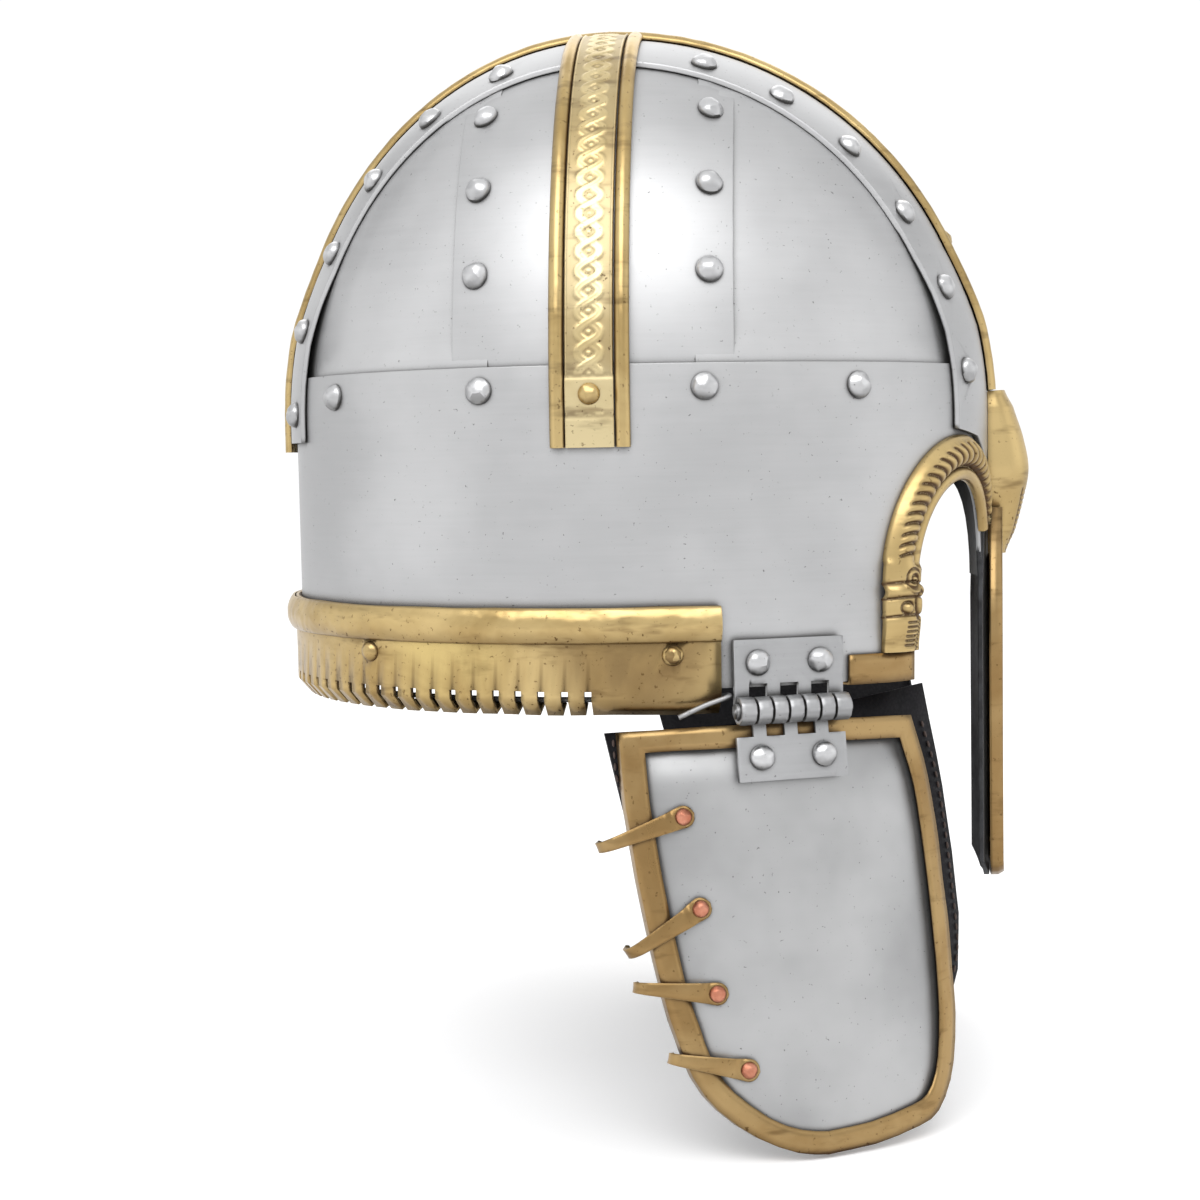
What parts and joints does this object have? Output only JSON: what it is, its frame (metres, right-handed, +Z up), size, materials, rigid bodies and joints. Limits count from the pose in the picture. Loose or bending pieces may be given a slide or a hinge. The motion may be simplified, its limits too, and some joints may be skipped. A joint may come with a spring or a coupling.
{
  "type": "early medieval helmet",
  "caption": "Crested helmet of riveted steel bands and plates with brass trim, nasal, slotted neck guard and two hinged cheek guards.",
  "frame": {"origin": "inside of the crown, where the head carries the helmet", "axes": "+X towards the face, +Y towards the wearer's left, +Z up out of the crown"},
  "size_m": [0.2533, 0.2226, 0.3513],
  "materials": {
    "steel": "satin",
    "hinge_steel": "satin, hand filed",
    "brass": "polished with brown patina in the recesses",
    "copper": "hammered copper",
    "leather": "dark waxed"
  },
  "bodies": {
    "bowl": {"brow_band": "steel", "nose_nape_band": "steel", "side_band_right": "steel", "side_band_left": "steel", "plate_front_right": "steel", "plate_front_left": "steel", "plate_rear_right": "steel", "plate_rear_left": "steel", "hinge_upper_right": "hinge_steel", "hinge_upper_left": "hinge_steel", "hinge_pin_right": "hinge_steel", "hinge_pin_left": "hinge_steel", "mail_wire": "hinge_steel", "crest_strip_long": "brass", "crest_binding_long_right": "brass", "crest_binding_long_left": "brass", "crest_head": "brass", "nasal_panel": "brass", "nasal_binding": "brass", "neck_guard": "brass", "neck_guard_bead": "brass", "crest_strip_right": "brass", "crest_binding_right_front": "brass", "crest_binding_right_rear": "brass", "eyebrow_right": "brass", "brow_edging_right": "brass", "crest_strip_left": "brass", "crest_binding_left_front": "brass", "crest_binding_left_rear": "brass", "eyebrow_left": "brass", "brow_edging_left": "brass"},
    "cheek_guard_right": {"cheek_plate_right": "steel", "cheek_edging_right": "brass", "cheek_lining_right": "leather", "hinge_lower_right": "hinge_steel", "hook_right_1": "brass", "hook_right_2": "brass", "hook_right_3": "brass", "hook_right_4": "brass", "hook_rivet_right_1": "copper", "hook_rivet_right_2": "copper", "hook_rivet_right_3": "copper", "hook_rivet_right_4": "copper"},
    "cheek_guard_left": {"cheek_plate_left": "steel", "cheek_edging_left": "brass", "cheek_lining_left": "leather", "hinge_lower_left": "hinge_steel", "hook_left_1": "brass", "hook_left_2": "brass", "hook_left_3": "brass", "hook_left_4": "brass", "hook_rivet_left_1": "copper", "hook_rivet_left_2": "copper", "hook_rivet_left_3": "copper", "hook_rivet_left_4": "copper"}
  },
  "joints": [
    {"name": "cheek_hinge_right", "type": "hinge", "parent": "bowl", "child": "cheek_guard_right", "pos_m": [0.05872, -0.0888, -0.2094], "axis": [-0.926, -0.3774, 0], "range_deg": [-8, 110]},
    {"name": "cheek_hinge_left", "type": "hinge", "parent": "bowl", "child": "cheek_guard_left", "pos_m": [0.05872, 0.0888, -0.2094], "axis": [0.926, -0.3774, 0], "range_deg": [-8, 110]}
  ]
}
